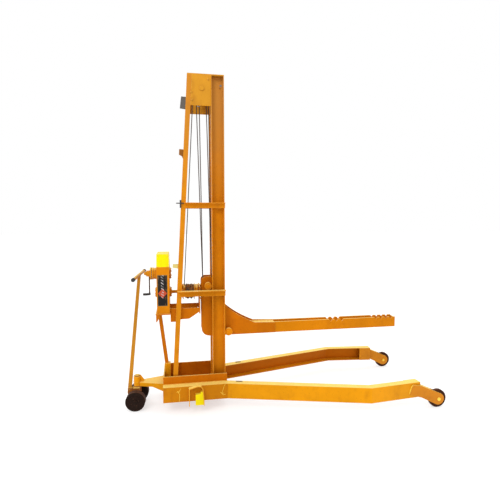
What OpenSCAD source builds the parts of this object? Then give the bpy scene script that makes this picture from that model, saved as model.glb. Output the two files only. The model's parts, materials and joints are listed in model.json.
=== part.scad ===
// Mobile mast lift with a hand winch: a channel-iron mast on a wheeled base with two splayed legs,
// a rope-hoisted carriage with a notched cantilever arm, and a two-wheel steered rear bogie.
// Millimetres. +X is forward (the way the arm points), +Z is up, Y = 0 is the middle plane.
// The origin is on the floor under the middle of the overall length and width.

/* [Mast] */
// height of the mast's top over the floor
mast_height = 3228; // [2600:1:3800]
// width over the outer faces of the mast
mast_width = 327; // [280:1:380]
// depth of a column channel, front to back
column_depth = 125; // [100:1:150]
// flange width of a column channel
column_flange = 65; // [50:1:80]
// front-to-back size of a rear upright
upright_size = 46; // [35:1:60]
// rear face of the upright behind the column front, at the mast's top
upright_top_back = 345; // [300:1:400]
// rear face of the upright behind the column front, at the base
upright_foot_back = 527; // [450:1:600]
// lower edge of the side plates at the mast's head
head_plate_low = 2938; // [2800:1:3050]
// underside of the upper brace
upper_brace_z = 1980; // [1800:1:2200]
// underside of the lower brace
lower_brace_z = 1122; // [1000:1:1300]

/* [Base] */
// underside of the base frame over the floor
base_low = 119; // [90:1:150]
// height of a leg channel
channel_height = 150; // [125:1:200]
// flange width of a leg channel
channel_flange = 75; // [60:1:90]
// height of the inner side plates
sill_height = 225; // [180:1:260]
// width over the inner side plates
sill_width = 386; // [350:1:420]
// rear end of the base behind the column front
base_back = 610; // [500:1:700]
// front end of the base ahead of the column front
base_front = 12; // [0:1:40]
// where each leg bends, ahead of the column front
bend_x = 1351; // [1200:1:1500]
// half width over the legs at the bend
bend_y = 615; // [500:1:700]
// where each leg ends, ahead of the column front
leg_end_x = 1879; // [1700:1:2100]
// half width over the legs at their ends
leg_end_y = 562; // [450:1:650]

/* [Wheels] */
// radius of a front wheel
front_wheel_r = 90; // [75:1:110]
// width of a front wheel
front_wheel_w = 40; // [35:1:50]
// front axle ahead of the leg's end
front_axle_out = 202; // [150:1:240]
// radius of a rear wheel
rear_wheel_r = 95; // [80:1:110]
// width of a rear wheel
rear_wheel_w = 75; // [50:1:90]
// steering axis behind the column front
steer_back = 874; // [800:1:950]
// how far the steering stands turned at rest, degrees
steer_rest = -4; // [-10:1:10]

/* [Tiller] */
// height of the cross grip over the floor
grip_z = 1324; // [1100:1:1450]
// length of the cross grip
grip_length = 640; // [400:1:700]
// radius of the cross grip tube
grip_r = 15; // [12:1:20]

/* [Carriage and arm] */
// top edge of the arm over the floor
arm_top = 805; // [790:1:820]
// height of the arm
arm_height = 108; // [80:1:140]
// tip of the arm ahead of the column front
arm_tip = 1888; // [1600:1:2100]
// width over the two arm plates
arm_width = 115; // [90:1:130]
// thickness of an arm plate
arm_thick = 16; // [10:1:20]
// front end of the carriage cheeks ahead of the column front
cheek_tip = 531; // [400:1:650]
// height of the upper carriage axle over the floor
axle_high = 1215; // [1190:1:1240]
// height of the lower carriage axle over the floor
axle_low = 747; // [730:1:760]
// radius of a mast roller
roller_r = 37.5; // [30:0.5:45]
// radius of the carriage axles
axle_r = 15; // [12:1:20]

/* [Hoist] */
// height of the head axle over the floor
head_axle_z = 3095; // [3000:1:3150]
// head axle behind the column front
head_axle_back = 210; // [190:1:230]
// rope diameter
rope_d = 9; // [6:1:12]
// rope radius round the small head sheave
sheave_small = 48; // [40:1:60]
// rope radius round the large head sheave
sheave_large = 75; // [60:1:85]
// rope radius round a carriage sheave
sheave_moving = 45; // [38:1:50]
// height of the drum's axis over the floor
drum_z = 1148; // [1100:1:1200]
// radius from the drum's axis to the middle of the wound rope
drum_pitch = 63.66; // [50:0.01:80]
// number of rope turns shown on the drum
drum_turns = 9; // [6:1:10]
// height of the crank's axis over the floor
crank_z = 1336; // [1300:1:1360]
// length of the crank arm
crank_arm = 208; // [150:1:230]

/* [Hidden] */
$fn = 64;
eps = 0.05;
// from the column's front to the middle of the overall length
shift_x = 595.4;
hw = mast_width / 2;
sill_y = sill_width / 2;
sill_t = 12;
base_top = base_low + sill_height;
chan_top = base_low + channel_height;
chan_y = sill_y + channel_flange;
floor_t = 12;
post_low = base_low + floor_t;
cap_t = 10;
post_top = mast_height - cap_t;
col_web = 6;
col_fl = 8;
web_y = hw - column_flange;
lean = (upright_foot_back - upright_top_back) / (post_top - post_low);
head_plate_t = 8;
leg_web = 6;
leg_fl = 9;
leg_a1 = atan2(bend_y - chan_y, bend_x - base_front);
leg_a2 = atan2(leg_end_y - bend_y, leg_end_x - bend_x);
fork_t = 10;
fork_gap = front_wheel_w + 4;
fork_y = -21;
fork_in = fork_y + fork_t;
fork_cover = 130;
fork_tip_r = 58;
front_pin_r = 10;
rear_pin_r = 12;
king_r = 20;
king_low = 208;
king_top = 300;
head_r = 34;
arm_low = arm_top - arm_height;
cheek_t = 10;
arm_in = arm_width / 2 - arm_thick;
cheek_y = arm_width / 2 + cheek_t;
cheek_back = 228;
cheek_top = 1300;
axle_up_x = -column_depth - roller_r - 0.5;
axle_lo_x = roller_r + 0.5;
roller_in = 103;
roller_w = 40;
fit = 0.05;
rope_r = rope_d / 2;
sheave_w = 20;
sheave_y = 16;
sheave_lip = 7;
groove_r = 5.5;
slot_w = 14;
eye_y = -40;
eye_r = axle_r + rope_r + 0.3;
rope_gap = 0.6;
drum_r = drum_pitch - rope_r - 0.3;
drum_back = 407;
drum_front = 262;
flange_x = 297;
drum_flange_r = 83;
drum_shaft_r = 16;
lead_x = -396;
bear_x = 252;
bear_t = 10;
case_back = 658;
case_front = 538;
case_low = 962;
case_top = 1415;
case_y = 150;
case_wall = 5;
foot_t = 12;
crank_shaft_r = 14;
crank_x = -735;
tiller_x = 42;
tiller_pin_x = -75;
tiller_pin_z = 165;
tiller_pin_r = 8;
notch_depth = 26;
notch_mid = [for (i = [0:2]) 1146 + 62.5 * i];
notch_tip = [for (i = [0:3]) 1666 + 58.3 * i];

// ---------- helpers ----------
module place() { translate([-shift_x, 0, 0]) children(); }
module both_sides() { children(); mirror([0, 1, 0]) children(); }
// a plate drawn in X and Z, standing between y0 and y1
module upright_plate(y0, y1) {
  translate([0, y1, 0]) rotate([90, 0, 0]) linear_extrude(y1 - y0) children();
}
module along_y(x, z, y0, y1, r) {
  translate([x, y1, z]) rotate([90, 0, 0]) cylinder(r = r, h = y1 - y0);
}
module along_x(x0, x1, y, z, r) {
  translate([x0, y, z]) rotate([0, 90, 0]) cylinder(r = r, h = x1 - x0);
}
module steer_frame() {
  translate([-steer_back, 0, 0]) rotate([0, 0, steer_rest]) children();
}
module rod(a, b, r) {
  d = b - a;
  l = norm(d);
  translate(a) rotate([0, acos(d[2] / l), atan2(d[1], d[0])]) cylinder(r = r, h = l);
}
function upright_x(z) = -upright_top_back - lean * (post_top - z);
function tangent(p, c, r, s) =
  let (d = c - p, l = norm(d), a = atan2(d[1], d[0]) + s * asin(r / l), t = sqrt(l * l - r * r))
  [p[0] + t * cos(a), p[1] + t * sin(a)];
function curve(a, b, c, n) =
  [for (i = [0:n]) let (t = i / n) (1 - t) * (1 - t) * a + 2 * t * (1 - t) * b + t * t * c];
function arc(c, r, a0, a1, n) =
  [for (i = [0:n]) let (a = a0 + (a1 - a0) * i / n) [c[0] + r * cos(a), c[1] + r * sin(a)]];

// ---------- base frame ----------
module side_channel() {
  translate([-base_back, -chan_y, base_low]) difference() {
    cube([base_back + base_front, channel_flange, channel_height]);
    translate([-1, leg_web, leg_fl])
      cube([base_back + base_front + 2, channel_flange, channel_height - 2 * leg_fl]);
  }
}
module side_channel_near() { color("orange") place() side_channel(); }
module side_channel_far() { color("orange") place() mirror([0, 1, 0]) side_channel(); }
module sill() {
  translate([-base_back, -sill_y, base_low]) cube([base_back + base_front, sill_t, sill_height]);
}
module sill_near() { color("orange") place() sill(); }
module sill_far() { color("orange") place() mirror([0, 1, 0]) sill(); }
module base_plates() {
  inner = sill_width - 2 * sill_t;
  color("darkorange") place() translate([0, -inner / 2, base_low]) {
    translate([-base_back, 0, 0]) cube([base_back + base_front, inner, floor_t]);
    translate([-base_back, 0, 0]) cube([floor_t, inner, sill_height]);
    cube([base_front, inner, channel_height]);
  }
}
function leg_n(a) = [-sin(a), cos(a)];
function leg_outline(d) =
  let (a1 = -leg_a1, a2 = -leg_a2, n1 = leg_n(a1), n2 = leg_n(a2),
    p1 = [bend_x, -bend_y], p2 = [leg_end_x, -leg_end_y])
  [[base_front, -chan_y], p1, p2, p2 + d * n2, p1 + d * (n1 + n2) / (1 + n1 * n2),
    [base_front, -chan_y + d / cos(a1)]];
module leg() {
  translate([0, 0, base_low]) linear_extrude(channel_height) polygon(leg_outline(leg_web));
  translate([0, 0, base_low]) linear_extrude(leg_fl) polygon(leg_outline(channel_flange));
  translate([0, 0, chan_top - leg_fl]) linear_extrude(leg_fl)
    polygon(leg_outline(channel_flange));
}
module leg_near() { color("orange") place() leg(); }
module leg_far() { color("orange") place() mirror([0, 1, 0]) leg(); }
// frame at the leg's end: x along the leg, y towards the middle, from the web's outer face
module leg_end() { translate([leg_end_x, -leg_end_y, 0]) rotate([0, 0, -leg_a2]) children(); }
// the fork's own frame: along X, from the corner where the leg ends
module fork_frame() { translate([leg_end_x, -leg_end_y, 0]) children(); }
fork_c = [front_axle_out, front_wheel_r];
fork_hi = [14, chan_top - 32];
fork_lo = [20, base_low - 2];
fork_tip = tangent(fork_hi, fork_c, fork_tip_r, 1);
fork_heel = tangent(fork_lo, fork_c, fork_tip_r, -1);
function turn_to(p, c) = atan2(p[1] - c[1], p[0] - c[0]);
// a fork plate: its rounded end, then the given points round its rear end
module fork_arm(y, rear) {
  tip = arc(fork_c, fork_tip_r, turn_to(fork_heel, fork_c), turn_to(fork_tip, fork_c), 14);
  upright_plate(y, y + fork_t) difference() {
    polygon(concat(tip, [fork_hi], rear, [fork_lo]));
    translate(fork_c) circle(r = front_pin_r + fit);
  }
}
module front_fork() {
  slope = (fork_tip - fork_hi) / norm(fork_tip - fork_hi);
  fork_frame() {
    fork_arm(fork_y, [[-82, chan_top - 16], [-110, base_low + 37]]);
    fork_arm(fork_in + fork_gap, [[4, chan_top - 40], [4, base_low + 20]]);
    upright_plate(fork_in - 1, fork_in + fork_gap + 1) polygon([fork_hi - [0, 2],
      fork_hi + fork_cover * slope - [0, 2], fork_hi + fork_cover * slope - [0, 9],
      fork_hi - [0, 9]]);
  }
  leg_end() {
    translate([0, fork_y + 5, base_low + 8]) cube([10, 12 - fork_y, channel_height - 55]);
    translate([0, 0, base_low]) cube([10, channel_flange + 8, channel_height]);
    translate([-125, channel_flange, base_low]) cube([130, 8, channel_height]);
  }
}
module front_fork_near() { color("orange") place() front_fork(); }
module front_fork_far() { color("orange") place() mirror([0, 1, 0]) front_fork(); }
module front_axles() {
  inner = fork_in + fork_gap + fork_t;
  color("silver") place() both_sides() fork_frame() {
    along_y(fork_c[0], fork_c[1], fork_y - 0.2, inner + 14, front_pin_r);
    along_y(fork_c[0], fork_c[1], fork_y - 10, fork_y, 17);
    translate([fork_c[0], inner + 10, fork_c[1]]) rotate([90, 0, 0]) cylinder(r = 17, h = 10, $fn = 6);
  }
}
module wheel(r, w, bore, rim) {
  rotate([90, 0, 0]) rotate_extrude() polygon([[bore, -w / 2], [rim, -w / 2], [rim + 4, -w / 2 + 4],
    [r - 16, -w / 2 + 4], [r - 12, -w / 2], [r - 6, -w / 2], [r, -w / 2 + 6], [r, w / 2 - 6],
    [r - 6, w / 2], [r - 12, w / 2], [r - 16, w / 2 - 4], [rim + 4, w / 2 - 4], [rim, w / 2],
    [bore, w / 2]]);
}
module front_wheel() {
  fork_frame() translate([fork_c[0], fork_in + fork_gap / 2, fork_c[1]])
    wheel(front_wheel_r, front_wheel_w, front_pin_r + fit, 26);
}
module front_wheel_near() { color("saddlebrown") place() front_wheel(); }
module front_wheel_far() { color("saddlebrown") place() mirror([0, 1, 0]) front_wheel(); }

// foot bracket on the near side channel, open below and to the side
bracket_w = 146;
bracket_x = -366;
bracket_low = 85;
bracket_depth = 42;
bracket_out = [[0, 0], [0, 172], [84, 196], [118, 190], [136, 160], [bracket_w, 48],
  [bracket_w, 0]];
bracket_in = [[7, -1], [7, 167], [84, 188.5], [114, 184], [129.5, 158], [bracket_w - 7, 46],
  [bracket_w - 7, -1]];
module side_bracket() {
  color("orange") place() translate([bracket_x, 0, bracket_low])
    upright_plate(-chan_y - bracket_depth, -chan_y) difference() {
      polygon(bracket_out);
      polygon(bracket_in);
    }
}
module side_pad() {
  color("yellow") place() translate([bracket_x, 0, bracket_low])
    upright_plate(-chan_y - bracket_depth + 4, -chan_y)
      polygon([[62, 6], [bracket_w - 7.3, 6], [bracket_w - 7.3, 46], [131, 134], [114, 134],
        [108, 116], [62, 110]]);
}

// ---------- mast ----------
module column() {
  difference() {
    translate([-column_depth, -hw, post_low])
      cube([column_depth, column_flange, post_top - post_low]);
    translate([-column_depth + col_fl, -hw - 1, post_low - 1])
      cube([column_depth - 2 * col_fl, column_flange - col_web + 1, post_top - post_low + 2]);
    along_y(-33, head_axle_z + 24, -hw, 0, 8);
  }
}
module column_near() { color("darkorange") place() column(); }
module column_far() { color("darkorange") place() mirror([0, 1, 0]) column(); }
module upright_profile(inset, over) {
  z0 = post_low - over;
  z1 = post_top + over;
  polygon([[upright_x(z0) + inset, z0], [upright_x(z0) + upright_size - inset, z0],
    [upright_x(z1) + upright_size - inset, z1], [upright_x(z1) + inset, z1]]);
}
module upright() {
  difference() {
    upright_plate(-hw, -hw + upright_size) upright_profile(0, 0);
    upright_plate(-hw + 4, -hw + upright_size - 4) upright_profile(4, 5);
  }
}
module upright_near() { color("orange") place() upright(); }
module upright_far() { color("orange") place() mirror([0, 1, 0]) upright(); }
module head_side() {
  front = upright_size;
  upright_plate(-hw, -hw + head_plate_t) difference() {
    polygon([[-column_depth, post_top], [-column_depth, head_plate_low],
      [upright_x(head_plate_low) + front, head_plate_low],
      [upright_x(post_top) + front, post_top]]);
    translate([-head_axle_back, head_axle_z]) circle(r = axle_r + fit);
  }
}
module mast_head() {
  color("orange") place() {
    both_sides() head_side();
    translate([-upright_top_back, -hw, post_top]) cube([upright_top_back, mast_width, cap_t]);
  }
}
module brace(x0, z0, size) {
  t = 6;
  translate([x0, -hw - t, z0]) cube([4 - x0, t, size]);
  translate([x0, -hw - size, z0 + size - t]) cube([4 - x0, size, t]);
}
module upper_braces() {
  color("orange") place() both_sides() brace(upright_x(upper_brace_z) + 28, upper_brace_z, 50);
}
module lower_braces() {
  color("orange") place() both_sides() brace(upright_x(lower_brace_z) + 8, lower_brace_z, 60);
}
module clamp_bolt() {
  color("black") place() {
    along_x(-461, upright_x(upper_brace_z) + 27.5, -hw - 6.2, upper_brace_z + 44, 5);
    translate([-428, -hw - 14, upper_brace_z]) cube([13, 13.8, 74]);
  }
}
module dark_lug() {
  color("dimgray") place() upright_plate(-hw + 3, -hw + 43)
    polygon([[upright_x(2906), 2906], [upright_x(3010), 3010], [upright_x(3010) - 44, 3012],
      [upright_x(2906) - 50, 2912]]);
}
module rear_lugs() {
  color("chocolate") place() {
    upright_plate(-hw + 12, -hw + 24)
      polygon([[upright_x(2440), 2440], [upright_x(2529), 2529], [upright_x(2529) - 40, 2531],
        [upright_x(2480) - 40, 2480], [upright_x(2466) - 12, 2466]]);
    upright_plate(-hw + 10, -hw + 36)
      polygon([[upright_x(1398), 1398], [upright_x(1440), 1440], [upright_x(1440) - 52, 1440],
        [upright_x(1408) - 52, 1408]]);
  }
}

// ---------- head sheaves and rope ----------
module sheave(pitch, bore) {
  rotate([90, 0, 0]) rotate_extrude() difference() {
    translate([bore, -sheave_w / 2]) square([pitch + sheave_lip - bore, sheave_w]);
    translate([pitch, 0]) circle(r = groove_r);
    translate([pitch, -slot_w / 2]) square([sheave_lip + 1, slot_w]);
  }
}
module head_axle() {
  color("silver") place() {
    along_y(-head_axle_back, head_axle_z, -hw - 4, hw + 4, axle_r);
    along_y(-head_axle_back, head_axle_z, hw, hw + 9, 21);
    along_y(-head_axle_back, head_axle_z, -hw - 9, -hw, 21);
  }
}
module head_sheave_small() {
  color("gray") place() translate([-head_axle_back, -sheave_y, head_axle_z])
    sheave(sheave_small, axle_r + fit);
}
module head_sheave_large() {
  color("gray") place() translate([-head_axle_back, sheave_y, head_axle_z])
    sheave(sheave_large, axle_r + fit);
}
module rope_arc(x, y, z, r, up) {
  translate([x, y, z]) rotate([90, 0, 0]) rotate([0, 0, up ? 0 : 180])
    rotate_extrude(angle = 180) translate([r, 0]) circle(r = rope_r);
}
module rope_fixed() {
  color("dimgray") place() {
    rope_arc(-head_axle_back, -sheave_y, head_axle_z, sheave_small, true);
    rope_arc(-head_axle_back, sheave_y, head_axle_z, sheave_large, true);
    translate([-head_axle_back, eye_y, head_axle_z]) rotate([90, 0, 0])
      rotate_extrude() translate([eye_r, 0]) circle(r = rope_r);
    rod([-head_axle_back - sheave_large, sheave_y, head_axle_z], [lead_x, drum_pitch, drum_z],
      rope_r);
  }
}
module rope_falls() {
  back = axle_up_x - sheave_moving;
  front = axle_up_x + sheave_moving;
  low = axle_high + rope_gap;
  top = head_axle_z;
  color("dimgray") place() {
    rod([-head_axle_back - eye_r, eye_y, top], [back, -sheave_y, low], rope_r);
    rod([-head_axle_back + sheave_small, -sheave_y, top], [front, -sheave_y, low], rope_r);
    rod([-head_axle_back - sheave_small, -sheave_y, top], [back, sheave_y, low], rope_r);
    rod([-head_axle_back + sheave_large, sheave_y, top], [front, sheave_y, low], rope_r);
  }
}
module rope_bight() {
  color("dimgray") place() {
    rope_arc(axle_up_x, -sheave_y, axle_high, sheave_moving, false);
    rope_arc(axle_up_x, sheave_y, axle_high, sheave_moving, false);
  }
}

// ---------- winch ----------
module winch_bracket() {
  y = hw - upright_size;
  color("darkorange") place() {
    both_sides() upright_plate(-y, -y + 10)
      polygon([[-case_front, 1000], [-case_front, case_low], [-case_front + 6, case_low],
        [-case_front + 6, 868], [-486, 868], [-430, 890], [-352, 893], [-bear_x, 958],
        [-bear_x, 1000]]);
    translate([-case_back - 14, -case_y - 10, case_low - foot_t])
      cube([case_back - case_front + 20, 2 * case_y + 20, foot_t]);
    upright_plate(-case_y - 8, -case_y + 2)
      polygon([[-668, case_low - foot_t], [-668, 882], [-660, 882], [-636, 925],
        [-636, case_low - foot_t]]);
  }
}
module bearing_plate() {
  y = hw - upright_size;
  color("orange") place() difference() {
    translate([-bear_x, -y, 940]) cube([bear_t, 2 * y, 270]);
    along_x(-bear_x - 1, -bear_x + bear_t + 1, 0, drum_z, drum_shaft_r + fit);
  }
}
module winch_casing() {
  color("orange") place() difference() {
    union() {
      translate([-case_back, -case_y, case_low])
        cube([case_back - case_front, 2 * case_y, case_top - case_low]);
      along_x(-case_front, -case_front + 16, 0, drum_z, 49);
      along_x(-case_back - 18, -case_back, 0, drum_z, 49);
      along_x(-case_front, -case_front + 14, 0, crank_z, 55);
      along_x(-case_back - 16, -case_back, 0, crank_z, 57);
    }
    translate([-case_back + case_wall, -case_y + case_wall, case_low - 1])
      cube([case_back - case_front - 2 * case_wall, 2 * case_y - 2 * case_wall,
        case_top - case_low + 2]);
    along_x(-case_front - 20, -case_front + 20, 0, drum_z, drum_shaft_r + fit);
    along_x(-case_back - 20, -case_back + 20, 0, crank_z, crank_shaft_r + fit);
  }
}
module cap_profile(i, top) {
  polygon([[-case_back + i, case_top - 2 * i], [-case_front - i, case_top - 2 * i],
    [-case_front - 3 - i, top], [-case_back + 3 + i, top]]);
}
module winch_cap() {
  top = case_top + 124;
  color("yellow") place() difference() {
    upright_plate(-case_y, case_y) cap_profile(0, top);
    upright_plate(-case_y + 3, case_y - 3) cap_profile(3, top - 3);
  }
}
module casing_label() {
  color("black") place() translate([-case_back + 8, -case_y - 1, 1036]) cube([94, 1, 302]);
}
module drum() {
  color("orange") place() {
    along_x(-drum_back, -drum_front, 0, drum_z, drum_r);
    along_x(-drum_back, -drum_back + 4, 0, drum_z, drum_flange_r);
    along_x(-flange_x, -flange_x + 4, 0, drum_z, drum_flange_r);
    along_x(-case_front - 50, -bear_x + bear_t + 6, 0, drum_z, drum_shaft_r);
  }
}
module rope_winding() {
  step = rope_d + 0.4;
  color("dimgray") place() translate([-flange_x - 5.2, 0, drum_z]) rotate([0, -90, 0])
    rotate_extrude() {
      for (i = [0:drum_turns - 1]) translate([drum_pitch, i * step]) circle(r = rope_r);
      translate([drum_r, -rope_r]) square([rope_r, drum_turns * step - 0.4]);
    }
}
module brake_discs() {
  color("gold") place() translate([-727, 0, crank_z]) rotate([0, 90, 0]) rotate_extrude()
    polygon([[crank_shaft_r, 0], [60, 0], [60, 14], [52, 14], [52, 20], [60, 20], [60, 34],
      [52, 34], [52, 40], [57, 40], [57, 52], [crank_shaft_r, 52]]);
}
module crank() {
  low = crank_z - crank_arm;
  color("dimgray") place() {
    along_x(-768, -case_back + 50, 0, crank_z, crank_shaft_r);
    along_x(-762, -727, 0, crank_z, 30);
    translate([crank_x, 0, low]) cylinder(r = 6, h = crank_arm);
    along_x(-796, crank_x + 6, 0, low, 6);
    along_x(-799, -796, 0, low, 9);
  }
}
module crank_grip() {
  low = crank_z - crank_arm;
  color("black") place() difference() {
    along_x(-795.5, -743, 0, low, 12);
    along_x(-800, -740, 0, low, 6 + fit);
  }
}
module winch_strut() {
  x1 = -642;
  x0 = -579;
  z0 = 421;
  z1 = case_low - foot_t;
  color("darkorange") place() upright_plate(-17.5, 17.5)
    polygon([[x0 - 17.5, z0], [x0 + 17.5, z0], [x1 + 17.5, z1], [x1 - 17.5, z1]]);
}
module strut_post() {
  color("orange") place() translate([-base_back + floor_t, -30, post_low])
    cube([56, 60, 421 - post_low]);
}

// ---------- drawbar and steered rear bogie ----------
module bar_plan(i) {
  polygon([[-base_back, -110 + i], [-base_back, 110 - i], [-848, 38 - i], [-848, -38 + i]]);
}
module bar_side(i) {
  polygon([[-base_back + 1, 245 - i], [-base_back + 1, 165 + i], [-720, king_low + i],
    [-860, king_low + i], [-860, 245 - i]]);
}
module drawbar() {
  color("orange") place() difference() {
    union() {
      difference() {
        intersection() {
          translate([0, 0, 150]) linear_extrude(120) bar_plan(0);
          upright_plate(-120, 120) bar_side(0);
        }
        intersection() {
          translate([30, 0, 150]) linear_extrude(120) bar_plan(7);
          translate([30, 0, 0]) upright_plate(-120, 120) bar_side(6);
        }
      }
      translate([-steer_back, 0, king_low]) cylinder(r = head_r, h = king_top - king_low);
      upright_plate(-5, 5)
        polygon([[-steer_back + 30, 240], [-steer_back + 30, 316], [-806, 262], [-806, 240]]);
    }
    translate([-steer_back, 0, king_low - 1])
      cylinder(r = king_r + fit, h = king_top - king_low + 2);
  }
}
module steer_axle() {
  color("chocolate") place() steer_frame() difference() {
    union() {
      translate([-30, -60, 70]) cube([60, 120, 128]);
      translate([0, 0, 197]) cylinder(r = head_r, h = king_low - 197 - 0.3);
      translate([0, 0, 197]) cylinder(r = king_r, h = king_top + 12 - 197);
      translate([0, 0, king_top + 0.4]) cylinder(r = 29, h = 11, $fn = 6);
      for (s = [-1, 1]) translate([tiller_pin_x - 17, s * 13.5 - 6, 122]) cube([64, 12, 64]);
      along_y(tiller_pin_x, tiller_pin_z, -24, 24, tiller_pin_r);
      both_sides() along_y(0, rear_wheel_r, -74.5, -59, 20);
    }
    along_y(0, rear_wheel_r, -80, 80, rear_pin_r + fit);
  }
}
module rear_axle() {
  out = 150.5;
  color("silver") place() steer_frame() {
    along_y(0, rear_wheel_r, -out, out, rear_pin_r);
    both_sides() along_y(0, rear_wheel_r, -out - 9, -out, 18);
  }
}
module rear_wheel() {
  steer_frame() translate([0, -75.2 - rear_wheel_w / 2, rear_wheel_r])
    wheel(rear_wheel_r, rear_wheel_w - 0.4, rear_pin_r + fit, 30);
}
module rear_wheel_near() { color("saddlebrown") place() rear_wheel(); }
module rear_wheel_far() {
  color("saddlebrown") place() steer_frame()
    translate([0, 75.2 + rear_wheel_w / 2, rear_wheel_r])
      wheel(rear_wheel_r, rear_wheel_w - 0.4, rear_pin_r + fit, 30);
}
module tiller_bar() {
  low = tiller_pin_z - 37;
  high = grip_z - grip_r;
  x0 = tiller_pin_x - 4;
  color("orange") place() steer_frame() upright_plate(-7, 7) difference() {
    polygon([[x0 - 19, low], [x0 + 19, low], [tiller_x + 15, high], [tiller_x - 15, high]]);
    translate([tiller_pin_x, tiller_pin_z]) circle(r = tiller_pin_r + fit);
  }
}
module tiller_grip() {
  color("orange") place() steer_frame() difference() {
    along_y(tiller_x, grip_z, -grip_length / 2, grip_length / 2, grip_r);
    along_y(tiller_x, grip_z, -grip_length / 2 - 1, grip_length / 2 + 1, grip_r - 3);
  }
}
module grip_caps() {
  color("black") place() steer_frame() both_sides() difference() {
    along_y(tiller_x, grip_z, -grip_length / 2 - 6, -grip_length / 2 + 20, grip_r + 3);
    along_y(tiller_x, grip_z, -grip_length / 2, -grip_length / 2 + 21, grip_r + fit);
  }
}

// ---------- carriage ----------
module cheek() {
  upright_plate(-cheek_y, -cheek_y + cheek_t) difference() {
    polygon(concat(arc([-cheek_back + 45, cheek_top - 45], 45, 180, 90, 6),
      [[-132, cheek_top], [-104, cheek_top - 40]],
      curve([18, 995], [140, 884], [318, 812], 8), [[cheek_tip, arm_top - 1]],
      [[cheek_tip, arm_low]], arc([-cheek_back + 78, arm_low + 78], 78, 270, 180, 6)));
    translate([axle_up_x, axle_high]) circle(r = axle_r + fit);
    translate([axle_lo_x, axle_low]) circle(r = axle_r + fit);
  }
}
module cheek_near() { color("darkorange") place() cheek(); }
module cheek_far() { color("darkorange") place() mirror([0, 1, 0]) cheek(); }
module notch(x, w) {
  polygon([[x - w, arm_top + eps], [x, arm_top - notch_depth], [x + w, arm_top + eps]]);
}
module arm() {
  upright_plate(-arm_width / 2, -arm_in) difference() {
    polygon([[-100, arm_low], [arm_tip, arm_low - 4], [arm_tip, arm_top - 4], [cheek_tip, arm_top],
      [-100, arm_top]]);
    for (x = notch_mid) notch(x, 23);
    for (x = notch_tip) notch(x, 19);
    translate([axle_lo_x, axle_low]) circle(r = axle_r + fit);
  }
}
module arm_near() { color("orange") place() arm(); }
module arm_far() { color("orange") place() mirror([0, 1, 0]) arm(); }
module carriage_ties() {
  color("orange") place() {
    translate([290, -arm_in, arm_top - 14]) cube([cheek_tip - 290, 2 * arm_in, 10]);
    translate([-cheek_back, -arm_width / 2, 790]) cube([10, arm_width, 330]);
    translate([arm_tip - 8, -arm_in, arm_low]) cube([8, 2 * arm_in, arm_height - 8]);
  }
}
module roller_axle(x, z) {
  end = roller_in + roller_w + 0.5;
  along_y(x, z, -end, end, axle_r);
  along_y(x, z, -end - 4, -end, 22);
  along_y(x, z, end, end + 4, 22);
  along_y(x, z, -roller_in + 0.5, -cheek_y, 22);
  along_y(x, z, cheek_y, roller_in - 0.5, 22);
}
module roller_axles() {
  color("silver") place() {
    roller_axle(axle_up_x, axle_high);
    roller_axle(axle_lo_x, axle_low);
  }
}
module roller_pair(x, z) {
  both_sides() translate([x, -roller_in - roller_w / 2, z]) rotate([90, 0, 0]) rotate_extrude()
    polygon([[axle_r + fit, -roller_w / 2], [roller_r - 2, -roller_w / 2],
      [roller_r, -roller_w / 2 + 2], [roller_r, roller_w / 2 - 2], [roller_r - 2, roller_w / 2],
      [axle_r + fit, roller_w / 2]]);
}
module upper_rollers() { color("orange") place() roller_pair(axle_up_x, axle_high); }
module lower_rollers() { color("orange") place() roller_pair(axle_lo_x, axle_low); }
module moving_sheave_near() {
  color("gray") place() translate([axle_up_x, -sheave_y, axle_high])
    sheave(sheave_moving, axle_r + fit);
}
module moving_sheave_far() {
  color("gray") place() translate([axle_up_x, sheave_y, axle_high])
    sheave(sheave_moving, axle_r + fit);
}

side_channel_near();
side_channel_far();
sill_near();
sill_far();
base_plates();
leg_near();
leg_far();
front_fork_near();
front_fork_far();
front_axles();
front_wheel_near();
front_wheel_far();
side_bracket();
side_pad();
column_near();
column_far();
upright_near();
upright_far();
mast_head();
upper_braces();
lower_braces();
clamp_bolt();
dark_lug();
rear_lugs();
head_axle();
head_sheave_small();
head_sheave_large();
rope_fixed();
rope_falls();
rope_bight();
winch_bracket();
bearing_plate();
winch_casing();
winch_cap();
casing_label();
drum();
rope_winding();
brake_discs();
crank();
crank_grip();
winch_strut();
strut_post();
drawbar();
steer_axle();
rear_axle();
rear_wheel_near();
rear_wheel_far();
tiller_bar();
tiller_grip();
grip_caps();
cheek_near();
cheek_far();
arm_near();
arm_far();
carriage_ties();
roller_axles();
upper_rollers();
lower_rollers();
moving_sheave_near();
moving_sheave_far();
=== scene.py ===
"""Looks for the hand-winch mast lift: camera, light, finishes, wire rope, welds and small fittings."""

import bpy
import json
import math
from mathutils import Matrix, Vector, noise


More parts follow.
